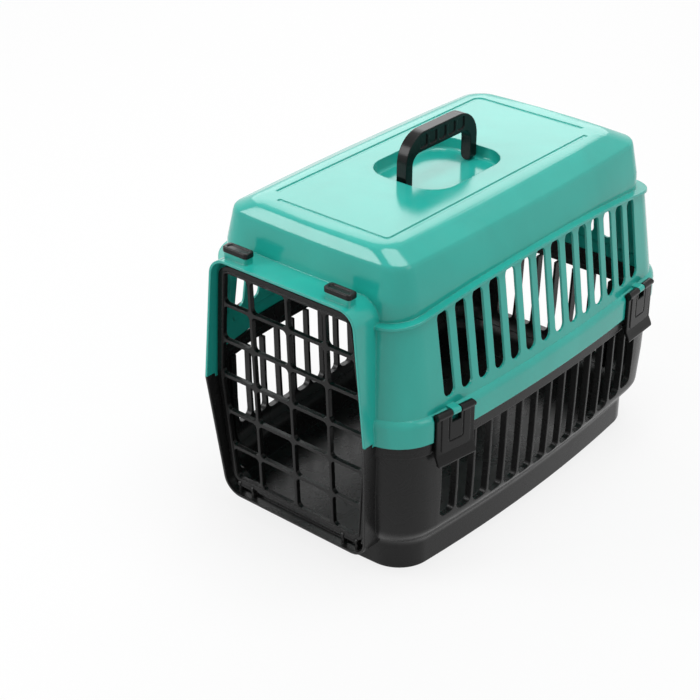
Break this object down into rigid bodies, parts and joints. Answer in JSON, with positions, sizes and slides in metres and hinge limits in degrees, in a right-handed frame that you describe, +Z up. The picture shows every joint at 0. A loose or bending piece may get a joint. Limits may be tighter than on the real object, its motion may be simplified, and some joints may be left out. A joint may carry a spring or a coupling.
{
  "type": "pet carrier",
  "caption": "Hard-shell carrier for a small cat or dog: slotted upper and lower shells, grille door in a front collar, door latches, side clips and a folding top handle.",
  "frame": {"origin": "middle of the overall bounding box in X and Y, at the underside of the plinth", "axes": "+Z up, the door faces -Y, +X is the right-hand side seen by someone who looks at the door"},
  "size_m": [0.3134, 0.4791, 0.389],
  "materials": {
    "dark_shell": "injection-moulded polypropylene with a light sheen",
    "mint_shell": "glossy injection-moulded polypropylene",
    "black_trim": "glossy injection-moulded plastic"
  },
  "bodies": {
    "carrier": {"lower_shell": "dark_shell", "upper_shell": "mint_shell"},
    "door_body": {"door": "black_trim"},
    "handle_body": {"handle": "black_trim"},
    "latch_left_body": {"door_latch_left": "black_trim"},
    "latch_right_body": {"door_latch_right": "black_trim"},
    "clip_front_left_body": {"clip_front_left": "black_trim"},
    "clip_front_right_body": {"clip_front_right": "black_trim"},
    "clip_rear_left_body": {"clip_rear_left": "black_trim"},
    "clip_rear_right_body": {"clip_rear_right": "black_trim"}
  },
  "joints": [
    {"name": "door_hinge", "type": "hinge", "parent": "carrier", "child": "door_body", "pos_m": [0, -0.219, 0.0335], "axis": [1, 0, 0], "range_deg": [0, 92]},
    {"name": "handle_fold", "type": "hinge", "parent": "carrier", "child": "handle_body", "pos_m": [0, -0.003, 0.338], "axis": [0, 1, 0], "range_deg": [-73, 73]},
    {"name": "latch_left_lift", "type": "slide", "parent": "carrier", "child": "latch_left_body", "axis": [0, 0, 1], "range_m": [0, 0.003]},
    {"name": "latch_right_lift", "type": "slide", "parent": "carrier", "child": "latch_right_body", "axis": [0, 0, 1], "range_m": [0, 0.003]},
    {"name": "clip_front_left_swing", "type": "hinge", "parent": "carrier", "child": "clip_front_left_body", "pos_m": [-0.1472, -0.158, 0.1835], "axis": [-0.1564, 0.9877, 0], "range_deg": [0, 110]},
    {"name": "clip_front_right_swing", "type": "hinge", "parent": "carrier", "child": "clip_front_right_body", "pos_m": [0.1472, -0.158, 0.1835], "axis": [-0.1564, -0.9877, 0], "range_deg": [0, 110]},
    {"name": "clip_rear_left_swing", "type": "hinge", "parent": "carrier", "child": "clip_rear_left_body", "pos_m": [-0.1472, 0.166, 0.1835], "axis": [0.0523, 0.9986, 0], "range_deg": [0, 110]},
    {"name": "clip_rear_right_swing", "type": "hinge", "parent": "carrier", "child": "clip_rear_right_body", "pos_m": [0.1472, 0.166, 0.1835], "axis": [0.0523, -0.9986, 0], "range_deg": [0, 110]}
  ]
}
